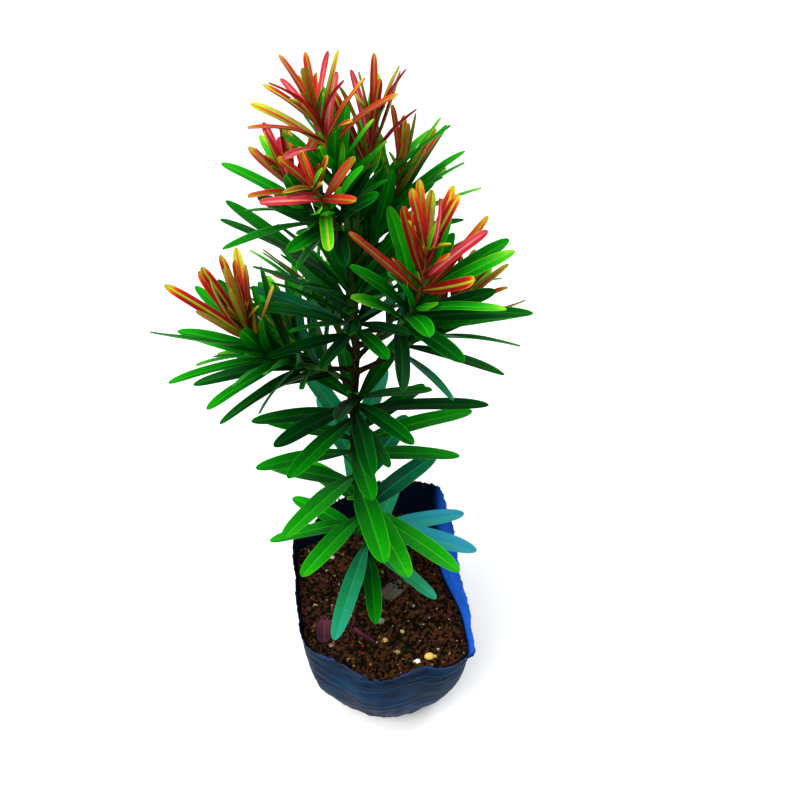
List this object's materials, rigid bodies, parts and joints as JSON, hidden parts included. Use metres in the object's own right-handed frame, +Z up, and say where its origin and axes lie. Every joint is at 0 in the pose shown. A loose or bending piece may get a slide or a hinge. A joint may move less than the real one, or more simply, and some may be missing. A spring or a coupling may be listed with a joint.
{
  "type": "podocarpus in a nursery bag",
  "caption": "Young podocarpus: a woody trunk with two whorls of boughs, narrow green leaves and red new growth, standing in a soft film nursery bag filled with soil.",
  "frame": {"origin": "centre of the flat foot of the bag, on the ground", "axes": "+Z up along the trunk; -Y towards the side that the picture shows, +X to the right there"},
  "size_m": [0.1527, 0.1346, 0.4113],
  "materials": {
    "film": "black polythene film with a dark blue sheen, creased and dusty",
    "soil": "dark red-brown soil with crumbs and pale grit",
    "bark": "brown bark, green-brown towards the top",
    "green_bark": "young green-brown bark",
    "grown_leaves": "dark glossy green leaves",
    "young_leaves": "red young leaves with yellow-green midrib and tips",
    "broad_leaves": "bright green satin leaves with a paler midrib"
  },
  "bodies": {
    "root": {"bag": "film", "soil": "soil", "trunk": "bark", "bough_top_right": "green_bark", "bough_upper_right": "green_bark", "bough_upper_left": "green_bark", "bough_upper_front": "green_bark", "bough_right": "green_bark", "bough_right_back": "green_bark", "bough_left": "green_bark", "bough_left_back": "green_bark", "bough_back": "green_bark", "bough_back_left": "green_bark", "bough_back_right": "green_bark", "foliage_leader": "grown_leaves", "foliage_top_right": "grown_leaves", "foliage_upper_right": "grown_leaves", "foliage_upper_left": "grown_leaves", "foliage_upper_front": "grown_leaves", "foliage_right": "grown_leaves", "foliage_right_back": "grown_leaves", "foliage_left": "grown_leaves", "foliage_left_back": "grown_leaves", "foliage_back": "grown_leaves", "foliage_back_left": "grown_leaves", "foliage_back_right": "grown_leaves", "flush_leader": "young_leaves", "flush_top_right": "young_leaves", "flush_upper_right": "young_leaves", "flush_upper_left": "young_leaves", "flush_upper_front": "young_leaves", "flush_right": "young_leaves", "flush_right_back": "young_leaves", "flush_left": "young_leaves", "flush_left_back": "young_leaves", "flush_back": "young_leaves", "flush_back_left": "young_leaves", "flush_back_right": "young_leaves", "leaves_tier_1": "broad_leaves", "leaves_tier_2": "broad_leaves", "leaves_tier_3": "broad_leaves", "leaves_tier_4": "broad_leaves", "leaves_tier_5": "broad_leaves", "leaves_tier_6": "broad_leaves", "leaves_tier_7": "broad_leaves"}
  },
  "joints": []
}
